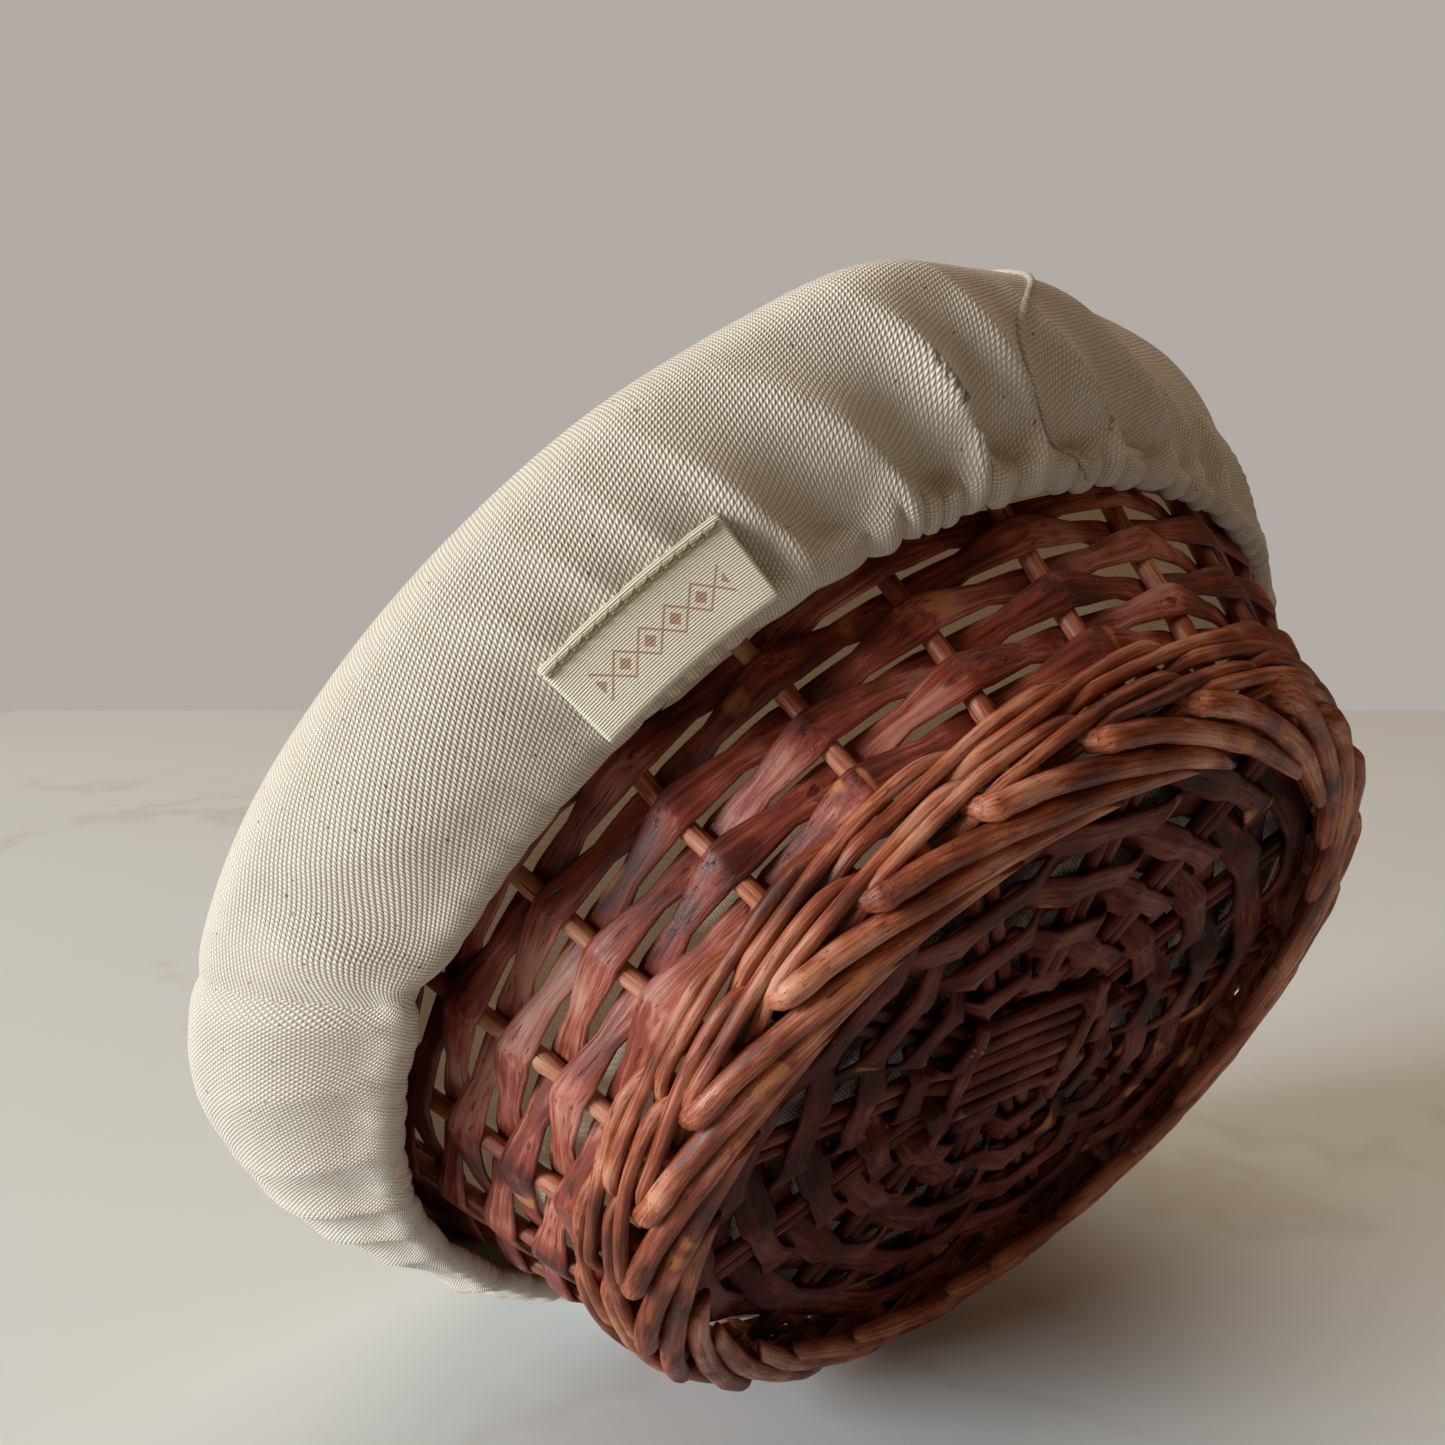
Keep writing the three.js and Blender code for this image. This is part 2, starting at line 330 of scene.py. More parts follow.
def join_sweeps(parts):
    """One bmesh that holds several closed sweeps."""
    whole = bmesh.new()
    for part in parts:
        scratch = bpy.data.meshes.new("scratch")
        part.to_mesh(scratch)
        part.free()
        whole.from_mesh(scratch)
        bpy.data.meshes.remove(scratch)
    return whole


# ---- Materials ----
def feed(socket, value):
    """Links a value that is a socket, and sets one that isn't. A colour gets its alpha."""
    if isinstance(value, bpy.types.NodeSocket):
        socket.id_data.links.new(value, socket)
    elif socket.type == "RGBA":
        socket.default_value = (*value, 1)
    else:
        socket.default_value = value


def node(tree, kind, **inputs):
    """Adds a shader node. Names that are its properties are set, the rest are its inputs."""
    made = tree.nodes.new("ShaderNode" + kind)
    for key, value in inputs.items():
        if hasattr(made, key):
            setattr(made, key, value)
        else:
            place = int(key[1:]) if key[1:].isdigit() else key.replace("_", " ")
            feed(made.inputs[place], value)
    return made


def sums(operation, a, b=0.0):
    """A Math node's result. The first number is a socket."""
    return node(a.id_data, "Math", operation=operation, i0=a, i1=b).outputs[0]


def between(value, low, high, to_low=0.0, to_high=1.0):
    """A value carried from one range to another, clamped."""
    made = node(value.id_data, "MapRange", i0=value, i1=low, i2=high, i3=to_low, i4=to_high)
    return made.outputs[0]


def mixed(factor, a, b):
    """A colour mixed from two, each a colour or a socket."""
    return node(factor.id_data, "Mix", data_type="RGBA", i0=factor, i6=a, i7=b).outputs[2]


def noise(vector, scale, detail=3.0, roughness=0.55):
    """A noise's value at a vector."""
    tree = vector.id_data
    made = node(tree, "TexNoise", Vector=vector, Scale=scale, Detail=detail, Roughness=roughness)
    return made.outputs[0]


def stretched(vector, scale):
    """A vector scaled by three numbers."""
    return node(vector.id_data, "Mapping", Vector=vector, Scale=scale).outputs[0]


def new_material(name):
    """A material with a Principled shader. Returns the material, its tree and the shader."""
    material = bpy.data.materials.new(name)
    material.use_nodes = True
    tree = material.node_tree
    return material, tree, tree.nodes["Principled BSDF"]


def raised(height, strength, distance):
    """A normal bumped by a height."""
    made = node(height.id_data, "Bump", Strength=strength, Distance=distance, Height=height)
    return made.outputs[0]


def tune(shader, **values):
    """Sets or links a shader's inputs."""
    for name, value in values.items():
        feed(shader.inputs[name.replace("_", " ")], value)


def grain_place(tree, tone_step):
    """The grain's coordinates, in metres, with each piece's tone set apart in depth."""
    uv = node(tree, "UVMap", uv_map="grain").outputs[0]
    tone = node(tree, "Attribute", attribute_name="tone").outputs["Fac"]
    split = node(tree, "SeparateXYZ", Vector=uv)
    apart = sums("MULTIPLY", tone, tone_step)
    joined = node(tree, "CombineXYZ", X=split.outputs[0], Y=split.outputs[1], Z=apart)
    return joined.outputs[0], tone


def willow_material(name, dark, red, worn, streak, gloss, shine=0.38):
    """Stained willow: long streaks of grain, thin stain on raised places and orange patches."""
    material, tree, shader = new_material(name)
    grain, tone = grain_place(tree, 7.0)
    place = node(tree, "TexCoord").outputs["Object"]
    fine = noise(stretched(grain, (70, streak, 1)), 1.0, 4.0, 0.7)
    broad = noise(stretched(grain, (30, streak / 5, 1)), 1.0, 2.0)
    cloud = noise(place, 62.0, 2.0)
    level = sums("ADD", between(fine, 0.34, 0.66, 0.08, 0.55), between(cloud, 0.35, 0.68, -0.2, 0.36))
    level = sums("ADD", level, between(tone, 0.0, 1.0, -0.3, 0.34))
    base = mixed(between(level, 0.0, 0.5), dark, red)
    base = mixed(between(level, 0.42, 1.0, 0.0, 0.9), base, worn)
    patch = noise(stretched(grain, (55, 120, 1)), 1.0, 1.5)
    patch = between(patch, 0.66, 0.72, 0.0, 0.75)
    base = mixed(patch, base, (0.46, 0.17, 0.05))
    crack = between(noise(stretched(grain, (90, streak, 3)), 1.0, 2.0, 0.5), 0.3, 0.36)
    base = mixed(between(crack, 0.0, 1.0, 0.75, 0.0), base, dark)
    rough = between(broad, 0.3, 0.7, gloss - 0.08, gloss + 0.14)
    relief = sums("ADD", sums("MULTIPLY", fine, 0.6), sums("MULTIPLY", crack, 0.5))
    relief = sums("ADD", relief, broad)
    tune(shader, Base_Color=base, Roughness=rough, Normal=raised(relief, 0.75, 0.35 * MM))
    tune(shader, Specular_IOR_Level=shine)
    return material


def wave(value, pitch):
    """A cosine of a distance in metres, from 0 to 1, with this pitch."""
    turn = sums("MULTIPLY", value, math.tau / pitch)
    return between(sums("COSINE", turn), -1.0, 1.0)


def canvas_material(name, light, shade):
    """Heavy cotton twill: diagonal rows of raised threads with painted shade between them, slubs and
    small dark flecks.
    """
    material, tree, shader = new_material(name)
    uv = node(tree, "UVMap", uv_map="grain").outputs[0]
    waved = node(tree, "TexNoise", Vector=uv, Scale=60.0, Detail=2.0).outputs["Color"]
    waved = node(tree, "VectorMath", operation="SCALE", i0=waved, Scale=0.7 * MM).outputs[0]
    uv = node(tree, "VectorMath", operation="ADD", i0=uv, i1=waved).outputs[0]
    split = node(tree, "SeparateXYZ", Vector=uv)
    u, v = split.outputs[0], split.outputs[1]
    across, down = 0.72 * MM, 1.08 * MM
    diagonal = sums("ADD", v, sums("MULTIPLY", u, down / across / 3))
    thread = sums("MULTIPLY", wave(u, across), wave(diagonal, down))
    thread = sums("POWER", thread, 0.6)
    slub = noise(stretched(uv, (300, 70, 1)), 1.0, 3.0)
    # Painted shade: the grooves between the threads take the shade colour.
    tint = mixed(between(thread, 0.0, 0.75, 0.0, 1.0), shade, light)
    # Painted shade: the thin, low parts of the slubby yarn are mixed partly towards the shade colour.
    tint = mixed(between(slub, 0.3, 0.7, 0.26, 0.0), tint, shade)
    fleck = between(noise(stretched(uv, (900, 700, 1)), 1.0, 0.0), 0.8, 0.84, 0.0, 0.7)
    tint = mixed(fleck, tint, (0.1, 0.06, 0.04))
    height = sums("ADD", thread, sums("MULTIPLY", slub, 0.7))
    tune(shader, Base_Color=tint, Normal=raised(height, 0.8, 0.32 * MM))
    tune(shader, Roughness=0.92, Sheen_Weight=0.25, Sheen_Roughness=0.5, Specular_IOR_Level=0.2)
    return material


def paint_glow_on_outer_face(material, glow):
    """Paints a glow on the cloth's outer face: emission that stands in for light inside the bowl coming
    out through the canvas.
    """
    tree = material.node_tree
    shader = tree.nodes["Principled BSDF"]
    place = node(tree, "TexCoord")
    level = node(tree, "VectorMath", operation="MULTIPLY", i0=place.outputs["Object"], i1=(1, 1, 0))
    outwards = node(tree, "VectorMath", operation="NORMALIZE", i0=level.outputs[0]).outputs[0]
    facing = node(tree, "VectorMath", operation="DOT_PRODUCT", i0=outwards, i1=place.outputs["Normal"])
    # Painted glow: the emission rises where the face looks outwards, so the cloth seen through the
    # weave's gaps looks lit.
    strength = between(facing.outputs["Value"], 0.1, 0.6, 0.0, 0.11)
    tune(shader, Emission_Color=glow, Emission_Strength=strength)
    return material


def ribbon_material(name, ground, motif):
    """Ribbed ribbon with a woven row of diamonds, and painted shade between its ribs."""
    material, tree, shader = new_material(name)
    split = node(tree, "SeparateXYZ", Vector=node(tree, "UVMap", uv_map="grain").outputs[0])
    u, v = split.outputs[0], split.outputs[1]
    rib = wave(v, 0.46 * MM)
    pick = wave(u, 0.3 * MM)
    saw = sums("PINGPONG", u, 2.6 * MM)
    off = sums("ABSOLUTE", sums("SUBTRACT", v, 8.6 * MM))
    edge = sums("SUBTRACT", sums("ADD", saw, off), 2.6 * MM)
    line = between(sums("ABSOLUTE", edge), 0.22 * MM, 0.3 * MM, 1.0, 0.0)
    heart = between(edge, -1.45 * MM, -1.3 * MM, 1.0, 0.0)
    inside = sums("MAXIMUM", line, heart)
    near = between(off, 2.9 * MM, 3.0 * MM, 1.0, 0.0)
    ends = sums("ABSOLUTE", sums("SUBTRACT", u, 18 * MM))
    near = sums("MULTIPLY", near, between(ends, 13.0 * MM, 13.1 * MM, 1.0, 0.0))
    inside = sums("MULTIPLY", inside, near)
    # Painted shade: the grooves between the ribs are darkened towards a grey brown.
    tint = mixed(between(rib, 0.0, 0.6, 0.55, 0.0), ground, (0.45, 0.4, 0.3))
    tint = mixed(sums("MULTIPLY", inside, 0.85), tint, motif)
    height = sums("ADD", rib, sums("MULTIPLY", pick, 0.25))
    tune(shader, Base_Color=tint, Normal=raised(height, 0.9, 0.15 * MM))
    tune(shader, Roughness=0.7, Sheen_Weight=0.3)
    return material


def thread_material(name, tint):
    """Twisted sewing thread, with painted shade in the grooves of its twist."""
    material, tree, shader = new_material(name)
    split = node(tree, "SeparateXYZ", Vector=grain_place(tree, 3.0)[0])
    slant = sums("ADD", split.outputs[0], split.outputs[1])
    twist = wave(slant, 0.5 * MM)
    # Painted shade: the twist's grooves are darkened to 40 per cent of the thread's colour.
    shaded = mixed(between(twist, 0.0, 1.0, 0.5, 0.0), tint, [0.4 * c for c in tint])
    tune(shader, Base_Color=shaded, Normal=raised(twist, 0.6, 0.1 * MM), Roughness=0.75)
    return material


def material_named(name):
    """The named finish, made when it is first asked for."""
    f = bpy.context.scene.basket_finishes
    stains = f.willow_dark, f.willow_red, f.willow_worn
    # Painted shade: the base's willow is the splits' stain dimmed to 42, 33 and 31 per cent, standing
    # in for the shade under the basket.
    shaded_stains = [[k * c for k, c in zip((0.42, 0.33, 0.31), tint)] for tint in stains]
    # The colour of the painted glow on the bowl cloth's outer face.
    glow = 0.9, 0.62, 0.35
    makers = {
        "split_willow": lambda: willow_material(name, *stains, 2000, 0.42),
        "round_willow": lambda: willow_material(name, f.rod_dark, f.rod_red, f.rod_worn, 1500, 0.4),
        "base_willow_painted_shade": lambda: willow_material(name, *shaded_stains, 1800, 0.5, 0.15),
        "twill_canvas": lambda: canvas_material(name, f.canvas, f.canvas_painted_shade),
        "bowl_canvas_painted_glow": lambda: paint_glow_on_outer_face(canvas_material(name, f.canvas, f.canvas_painted_shade), glow),
        "ribbed_ribbon": lambda: ribbon_material(name, f.ribbon, f.motif),
        "khaki_thread": lambda: thread_material(name, f.thread),
        "canvas_thread": lambda: thread_material(name, f.canvas),
    }
    return bpy.data.materials.get(name) or makers[name]()


# ---- Base ----
CROSS_PITCH = 5 * MM
LAYER_RISE = 1.8 * MM
SPOKE_GAP = 1.9 * MM
RING_INNER = 20.2 * MM
RING_OUTER = 75.5 * MM


def stick_path(pair, side, layer, turn):
    """A base stick: straight through the cross, then opened into its pair of spokes."""
    across = CROSS_PITCH * (2 * pair + side / 2)
    rise = LAYER_RISE * layer

    def spoke(radius):
        ray = on_circle(radius, PAIR_STEP * pair, BASE_HEIGHT)
        return ray + on_circle(side * SPOKE_GAP, PAIR_STEP * pair + 90, 0.0)

    half = [
        (5 * MM, across, BASE_HEIGHT + rise),
        (15 * MM, across, BASE_HEIGHT + rise),
        tuple(spoke(24 * MM)),
        tuple(spoke(50 * MM)),
        tuple(spoke(STICK_END)),
    ]
    path = np.array([(-x, y, z) for x, y, z in reversed(half)] + half)
    return turned(path, turn)


def base_stick(label, path, seed):
    """A slat with a rounded back, wider where it crosses the middle."""

    def place(s, t):
        cross = 1 - smooth((np.abs(s - 0.5) - 0.16) / 0.12)
        radius = (1.5 + 0.55 * cross + 0.12 * waver(s, seed)) * MM
        return rod_section(path, s, t, radius, flatness=1 - 0.28 * cross.reshape(-1, 1))

    size = 165 * MM, 10 * MM
    tone = np.random.default_rng(seed).uniform(0.2, 0.7)
    bm = close_up(sweep(70, 10, place, size, tone))
    nodes = [f"base_stick_{label}"]
    return piece(f"base_slat_{label}", bm, "base_willow_painted_shade", "basket", nodes)


def spoke_height(degrees, radius):
    """How high the pairs of spokes lie: the two layers meet outside the cross."""
    layer = np.clip(-2.5 * np.sin(2 * np.radians(degrees)), -1, 1)
    return BASE_HEIGHT + LAYER_RISE * layer * (1 - smooth((radius - 19 * MM) / (7 * MM)))


def base_ring(row, radius, nodes):
    """A flat split woven over one pair of spokes and under the next."""
    w = willow()
    swing = 1.5 * MM + w.base_thickness / 2 + 0.15 * MM
    seed = 100 + row

    def place(s, t):
        degrees = 360 * s + 9 * waver(s, seed + 50, (2, 3)) / 3
        pair = (degrees - CROSS_ANGLE) / PAIR_STEP
        flat = 4.6 * MM / radius / math.radians(PAIR_STEP)
        part = pair - np.round(pair)
        reach = np.clip((0.5 - np.abs(part)) / (0.5 - flat), 0, 1)
        sign = np.where((np.round(pair).astype(int) + row) % 2 == 0, 1.0, -1.0)
        r = radius + 0.5 * MM * waver(s, seed)
        z = spoke_height(degrees, radius) + sign * swing * np.minimum(1, 1.7 * reach)
        width = w.base_width * (1 + 0.08 * waver(s, seed + 20, (5, 9, 14)))
        width = width * (1.3 - 0.36 * smooth((reach - 0.55) / 0.4))
        lean = math.pi / 2 + 0.09 * waver(s, seed + 30, (7, 12))
        return band_section(degrees, r, z, width, w.base_thickness, lean, t)

    tone = drifting(0.42, 0.3, seed + 40, (3, 7, 11))
    bm = close_up(sweep(240, 10, place, (math.tau * radius, 14 * MM), tone))
    return piece(f"base_ring_{row + 1}", bm, "base_willow_painted_shade", "basket", nodes)


def cross_tie(number, side):
    """A thin stick laid across the ends of the lower slats."""
    along = 16.9 * MM * side
    z = BASE_HEIGHT - 4.2 * MM
    path = turned([(along, x * MM, z + abs(x) * 0.03 * MM) for x in (-17, -9, 0, 9, 17)], CROSS_ANGLE)

    def place(s, t):
        return rod_section(path, s, t, (1.25 + 0.1 * waver(s, number)) * MM)

    bm = close_up(sweep(24, 8, place, (34 * MM, 8 * MM), 0.75))
    return piece(f"cross_tie_{number}", bm, "base_willow_painted_shade", "basket")


class BASKET_OT_base(bpy.types.Operator):
    """Lay the base sticks and weave the flat rings through them"""

    bl_idname = "basket.weave_base"
    bl_label = "Weave the Base"

    def execute(self, context):
        for layer, letter, turn in ((-1, "a", CROSS_ANGLE), (1, "b", CROSS_ANGLE + 90)):
            spots = [(pair, side) for pair in (-1, 0, 1) for side in (-1, 1)]
            for number, (pair, side) in enumerate(spots, 1):
                path = stick_path(pair, side, layer, turn)
                base_stick(f"{letter}{number}", path, number + 10 * layer + 20)
        rows = willow().base_rows
        for row in range(rows):
            radius = RING_INNER + (RING_OUTER - RING_INNER) * row / (rows - 1)
            base_ring(row, radius, [f"base_weave_{min(row + 1, 7)}"])
        cross_tie(1, -1)
        cross_tie(2, 1)
        return {"FINISHED"}


# ---- Foot ----
def foot_rod(number):
    """A rod that comes down inside the wale, bends and runs round under its neighbours."""
    w = willow()
    start = STAKE_STEP * number + 1.3 * waver(number / w.stakes, 7, (5, 9))
    dice = np.random.default_rng(300 + number)
    reach = dice.uniform(36, 45)
    drop = dice.uniform(-0.4, 0.4)
    stations = [
        (0.0, 88.3, 17.0), (0.0, 88.3, 11.5), (0.25, 88.9, 8.0), (1.3, 89.6, 6.0), (3.6, 89.5, 5.1),
        (8.0, 88.1, 4.7), (15.0, 85.2 + drop, 3.9), (22.0, 82.9 + drop, 3.1),
        (29.0, 80.9 + drop, 2.7), (reach, 78.4 + drop, 2.55),
    ]
    path = [on_circle(r * MM, start + turn, z * MM) for turn, r, z in stations]
    cut = dice.uniform(2.5, 4.5) * MM

    def place(s, t):
        radius = w.foot_radius * (1 + 0.05 * waver(s, 300 + number, (3, 7)))
        radius = radius * (1 - 0.18 * smooth((s - 0.82) / 0.18)) * (1 + 0.07 * bump_at(s, 0.36, 0.06))
        points = rod_section(path, s, t, radius)
        ahead = unit(curve_at(path, s) - curve_at(path, s - 0.01))
        slant = smooth((s - 0.86) / 0.14) * cut * np.cos(math.tau * (t - 0.55))
        return points + ahead * slant[:, None]

    tone = drifting(0.35 + 0.4 * dice.uniform(0, 1), 0.15, 340 + number, (2, 5))
    bm = close_up(sweep(72, 12, place, (80 * MM, 15 * MM), tone))
    name = f"foot_rod_{number + 1:02d}"
    return piece(name, bm, "round_willow", "basket", ["foot_border"])


class BASKET_OT_foot(bpy.types.Operator):
    """Turn the rods' ends over into the foot border"""

    bl_idname = "basket.turn_foot"
    bl_label = "Turn the Foot"

    def execute(self, context):
        for number in range(willow().stakes):
            foot_rod(number)
        return {"FINISHED"}


# ---- Side ----
WALE_LOW = 9.4 * MM
WALE_PITCH = 5.6 * MM


def stake(number):
    """An upright willow rod with a knot or two."""
    w = willow()
    dice = np.random.default_rng(500 + number)
    degrees = FIRST_STAKE + STAKE_STEP * number
    low, high = 4.5 * MM, RIM_TOP - 11 * MM
    path = []
    for f in np.linspace(0, 1, 7):
        z = low + (high - low) * f
        sway = dice.uniform(-0.35, 0.35)
        path.append(on_circle(side_radius(z), degrees + sway, z))
    knot = dice.uniform(0.2, 0.8)
    facing = (1, 0, 0) if abs(math.sin(math.radians(degrees))) > 0.7 else (0, 1, 0)

    def place(s, t):
        radius = w.stake_radius * (1 - 0.08 * s) * (1 + 0.16 * bump_at(s, knot, 0.03))
        radius = radius * (1 + 0.03 * waver(t, number, (2, 3)))
        return rod_section(path, s, t, radius, facing)

    bm = close_up(sweep(40, 10, place, (75 * MM, 12 * MM), dice.uniform(0.3, 0.9)))
    label = f"{number + 1:02d}"
    return piece(f"stake_{label}", bm, "round_willow", "basket", [f"side_stake_{label}"])


def side_split(row, nodes):
    """A wide split woven over one stake and behind the next, creased where it bends."""
    w = willow()
    seed = 700 + 10 * row
    z_row = FIRST_ROW + ROW_PITCH * row
    swing = w.stake_radius + w.split_thickness / 2 + 0.1 * MM

    def place(s, t):
        stakes = w.stakes * s
        part = stakes - np.floor(stakes)
        eased = np.floor(stakes) + part - 0.12 * np.sin(math.tau * part)
        degrees = FIRST_STAKE + STAKE_STEP * eased
        near = np.round(eased)
        off = np.abs(eased - near)
        sign = np.where((near.astype(int) + row) % 2 == 0, 1.0, -1.0)
        bend = 0.5 - np.sqrt(off**2 + 0.03**2) + 0.03
        out = sign * 2 * swing * np.clip(bend, 0, 0.5) - 0.2 * MM * sign
        spread = 1 - np.clip((off - 0.12) / 0.38, 0, 1)
        width = w.split_waist + (w.split_width - w.split_waist) * spread
        width = width * (1 + 0.11 * waver(s, seed + 1, (5, 11, 17)))
        z = z_row + 0.45 * MM * waver(s, seed + 2, (4, 7, 13))
        lean = SIDE_LEAN + 0.1 * waver(s, seed + 3, (7, 12, 19)) * np.cos(math.pi * off)
        r = side_radius(z_row) + out
        crown = 0.22 * MM * sign * smooth((0.4 - off) / 0.3)
        return band_section(degrees, r, z, width, w.split_thickness, lean, t, crown)

    tone = drifting(0.45, 0.38, seed + 4, (3, 5, 12))
    size = math.tau * side_radius(z_row), 2 * w.split_width
    bm = close_up(sweep(w.stakes * 12, 14, place, size, tone))
    name = f"side_split_{row + 1}"
    return piece(name, bm, "split_willow", "basket", nodes)


def wale_strand(course, strand, nodes):
    """A thin rod that passes outside two stakes and inside the third, rising as it goes."""
    w = willow()
    seed = 900 + 10 * course + strand
    z_mid = WALE_LOW + WALE_PITCH * course

    def place(s, t):
        stakes = w.stakes * s
        degrees = FIRST_STAKE + STAKE_STEP * stakes
        phase = np.mod(stakes + strand + course, 3)
        inside = np.maximum(1 - smooth(phase / 0.75), smooth((phase - 2.25) / 0.75))
        rising = smooth((phase - 0.5) / 2) * 2 - 1
        falling = 1 - 2 * smooth(np.where(phase < 1.5, phase + 0.5, phase - 2.5))
        climb = np.where((phase > 0.5) & (phase < 2.5), rising, falling)
        r = w.stake_radius + w.wale_radius + 0.1 * MM
        out = r * (1 - 2 * inside) + 0.5 * MM * waver(s, seed, (5, 9)) * (1 - inside)
        z = z_mid + 1.9 * MM * climb + 0.75 * MM * waver(s, seed + 1, (4, 7, 11))
        radius = w.wale_radius * (1 + 0.16 * waver(s, seed + 2, (6, 10, 15)))
        return round_section(degrees, side_radius(z) + out, z, radius, t)

    tone = drifting(0.5, 0.35, seed + 3, (2, 5, 9))
    size = math.tau * side_radius(z_mid), 10 * MM
    bm = close_up(sweep(w.stakes * 10, 9, place, size, tone))
    name = f"wale_strand_{3 * course + strand + 1}"
    return piece(name, bm, "round_willow", "basket", nodes)


class BASKET_OT_side(bpy.types.Operator):
    """Set the stakes and weave the side between them"""

    bl_idname = "basket.weave_side"
    bl_label = "Weave the Side"

    def execute(self, context):
        w = willow()
        for number in range(w.stakes):
            stake(number)
        for row in range(w.side_rows):
            side_split(row, [f"side_weave_0{min(row + 1, 8)}"])
        return {"FINISHED"}


class BASKET_OT_wale(bpy.types.Operator):
    """Twist the two courses of thin rods above the foot"""

    bl_idname = "basket.twist_wale"
    bl_label = "Twist the Wale"

    def execute(self, context):
        for course in range(2):
            for strand in range(3):
                wale_strand(course, strand, [f"wale_rod_{strand + 1}"])
        return {"FINISHED"}


# ---- Rim ----
PLAIT_RADIUS = RIM_OUTER - 9.2 * MM
PLAIT_HEIGHT = RIM_TOP - 8.0 * MM


def rim_strand(number, strands):
    """One thick rod of the plaited border."""
    w = willow()

    def place(s, t):
        turn = math.tau * (w.stakes / 2 * s + number / strands)
        r = PLAIT_RADIUS + 4.3 * MM * np.cos(turn)
        z = PLAIT_HEIGHT + 4.6 * MM * np.sin(turn)
        radius = (2.8 + 0.15 * waver(s, number, (9, 14))) * MM
        return round_section(360 * s, r, z, radius, t)

    bm = close_up(sweep(w.stakes * 10, 9, place, (740 * MM, 18 * MM), 0.3 + 0.15 * number))
    name = f"rim_strand_{number + 1}"
    return piece(name, bm, "round_willow", "basket", ["top_border"])


class BASKET_OT_rim(bpy.types.Operator):
    """Plait the top border, which the cloth covers"""

    bl_idname = "basket.plait_rim"
    bl_label = "Plait the Rim"

    def execute(self, context):
        for number in range(4):
            rim_strand(number, 4)
        return {"FINISHED"}


# ---- Liner ----
SKIRT_REACH = (
    (-175, 123), (-154, 134), (-140, 144.5), (-115, 145), (-80, 144), (-62, 146), (-50, 141),
    (-40, 131), (-28, 123), (-10, 118), (20, 118.5), (70, 129), (95, 129), (130, 121),
)
HEM_REACH = (
    (-180, 108), (-150, 115.5), (-125, 120), (-95, 118), (-60, 115), (-38, 111), (-15, 108),
    (30, 108), (80, 110), (140, 108),
)
HEM_RISE = ((-180, 1), (-120, 0), (-75, 0), (-55, 1.5), (-40, 3.5), (-20, 5), (40, 4), (120, 2))
GATHER_AT = (
    (-180, 0.5), (-150, 0.3), (-100, 0.14), (-84, 0.35), (-70, 1.0), (-45, 1.15), (-20, 0.55),
    (10, 0.5), (60, 0.8), (120, 0.6),
)
SEAM_ANGLE = -121.5
CLOTH_AROUND = 0.86
CLOTH_DOWN = 0.2


def round_table(table, degrees):
    """A value read round the basket from a few angles, smoothed."""
    at, values = zip(*table)
    parts = [np.interp(degrees + shift, at, values, period=360) for shift in (-9, -4, 0, 4, 9)]
    return sum(parts) / len(parts)


def liner_profile(degrees):
    """The liner's section at each angle, from the floor's edge to the turned-in hem, in metres."""
    wide = round_table(SKIRT_REACH, degrees)
    hem = round_table(HEM_REACH, degrees)
    hem = hem + 4.6 * bump_at(degrees, SEAM_ANGLE, 4)
    rise = round_table(HEM_RISE, degrees)

    def wall(z, inset):
        return side_radius(z * MM) / MM - inset

    def skirt(share):
        return hem + share * (wide - hem)

    points = [
        (78.6, 15.2), (83.4, 16.2), (wall(22, 5.7), 22), (wall(38, 5.0), 38), (wall(56, 5.2), 56),
        (wall(74, 8.4), 74), (wall(85, 8.6), 84.5), (117, 87.5), (122.2, 87.6),
        (126 + 0.08 * (wide - 121), 84.9), (np.maximum(126, 127 + 0.7 * (wide - 127)), 78), (wide, 69),
        (skirt(0.93), 61.5 + 0.4 * rise), (skirt(0.73), 53.5 + 0.7 * rise), (skirt(0.4), 46.8 + rise),
        (skirt(0.1), 43.1 + rise), (hem - 1.2, 43.2 + rise), (hem - 0.6, 45.4 + rise),
        (hem + 4.5, 49 + rise),
    ]
    return np.array([[value + 0 * degrees for value in point] for point in points]) * MM


PROFILE_SPANS = 18
HEM_AT = 15.4 / PROFILE_SPANS
PANEL_TURN = math.radians(52)
WIDEST_AT = 11 / PROFILE_SPANS
RIM_SEAM = 5.6 / PROFILE_SPANS


def liner_rest(degrees, t):
    """Where the cloth lies before its folds: radius and height."""
    profile = liner_profile(degrees)
    x = np.clip(t, 0, 1) * PROFILE_SPANS
    i = np.minimum(x.astype(int), PROFILE_SPANS - 1)
    f = x - i
    across = np.arange(len(degrees))

    def at(k):
        return profile[np.clip(k, 0, PROFILE_SPANS), :, across]

    return between_points(at(i - 1), at(i), at(i + 1), at(i + 2), f[:, None])


def panel_edge(t):
    """The angle of the seam where the skirt's first panel ends: it slants from the rim to the hem."""
    return SEAM_ANGLE - 11 * (HEM_AT - t) / (HEM_AT - 0.5)


